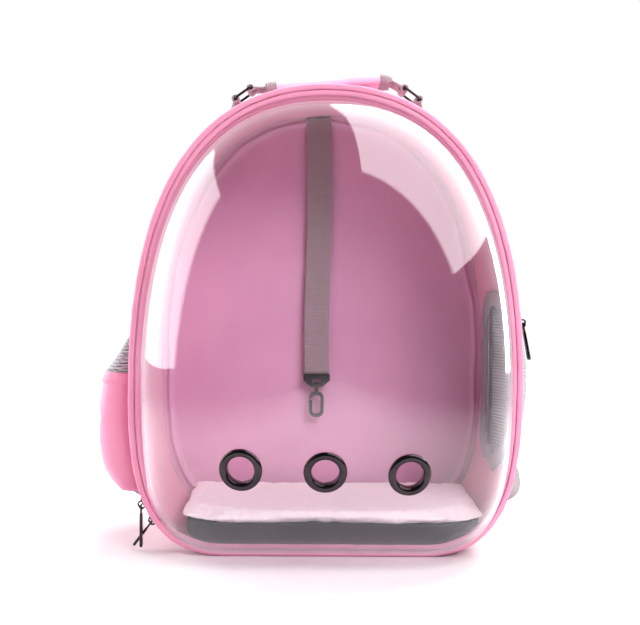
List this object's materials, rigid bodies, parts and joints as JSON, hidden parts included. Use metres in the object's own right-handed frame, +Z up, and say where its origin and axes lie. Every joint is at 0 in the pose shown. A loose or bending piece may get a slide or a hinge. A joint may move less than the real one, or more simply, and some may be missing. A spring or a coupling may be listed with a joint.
{
  "type": "bubble pet carrier backpack",
  "caption": "Backpack carrier with a clear domed front, metal vent rings, cloth sides with a mesh door and a pocket, a plush floor pad, a leash and padded straps.",
  "frame": {"origin": "on the floor, under the middle of the cloth side wall's depth", "axes": "+Z up, -Y towards the front, where the dome is, and +X to the right as seen from the front"},
  "size_m": [0.4407, 0.3369, 0.4392],
  "materials": {
    "pink_cloth": "woven Oxford cloth, matte",
    "clear_dome": "clear thermoformed plastic, glossy",
    "gun_metal": "gun-metal plating, polished",
    "grey_cloth": "woven cloth, matte",
    "grey_mesh": "open knitted mesh",
    "grey_webbing": "ribbed webbing",
    "dark_cloth": "woven cloth, matte",
    "pale_plush": "short plush pile",
    "black_plastic": "moulded, satin"
  },
  "bodies": {
    "carrier": {"rim_band": "pink_cloth", "rim_piping": "pink_cloth", "front_zip": "pink_cloth", "gusset": "pink_cloth", "back_panel": "pink_cloth", "pocket": "pink_cloth", "handle_pad": "pink_cloth", "bubble": "clear_dome", "eyelet_left": "gun_metal", "eyelet_middle": "gun_metal", "eyelet_right": "gun_metal", "ring_left": "gun_metal", "ring_right": "gun_metal", "zip_slider_upper": "gun_metal", "zip_slider_lower": "gun_metal", "side_slider": "gun_metal", "window_frame": "grey_cloth", "window_binding": "grey_cloth", "strap_left": "grey_cloth", "strap_right": "grey_cloth", "window_mesh": "grey_mesh", "pocket_mesh": "grey_mesh", "pad_base": "dark_cloth", "pad_top": "pale_plush", "leash": "grey_webbing", "handle_webbing": "grey_webbing", "ring_loop_left": "grey_webbing", "ring_loop_right": "grey_webbing", "strap_loop_left": "grey_webbing", "strap_loop_right": "grey_webbing", "strap_webbing_left": "grey_webbing", "strap_webbing_right": "grey_webbing", "leash_loop": "black_plastic", "adjuster_left": "black_plastic", "adjuster_right": "black_plastic"},
    "pull_upper": {"zip_pull_upper": "gun_metal"},
    "pull_lower": {"zip_pull_lower": "gun_metal"},
    "pull_side": {"side_pull": "gun_metal"},
    "hook": {"leash_hook": "black_plastic"}
  },
  "joints": [
    {"name": "pull_upper_swing", "type": "hinge", "parent": "carrier", "child": "pull_upper", "pos_m": [-0.16472, -0.0698, 0.04291], "axis": [0, 1, 0], "range_deg": [-20, 148]},
    {"name": "pull_lower_swing", "type": "hinge", "parent": "carrier", "child": "pull_lower", "pos_m": [-0.15573, -0.0636, 0.02711], "axis": [0, 1, 0], "range_deg": [-70, 98]},
    {"name": "pull_side_swing", "type": "hinge", "parent": "carrier", "child": "pull_side", "pos_m": [0.18049, -0.0467, 0.20821], "axis": [0, 1, 0], "range_deg": [-165, 8]},
    {"name": "hook_swivel", "type": "hinge", "parent": "carrier", "child": "hook", "pos_m": [-0.006, 0.0735, 0.1342], "axis": [0, 0, 1], "continuous": true}
  ]
}
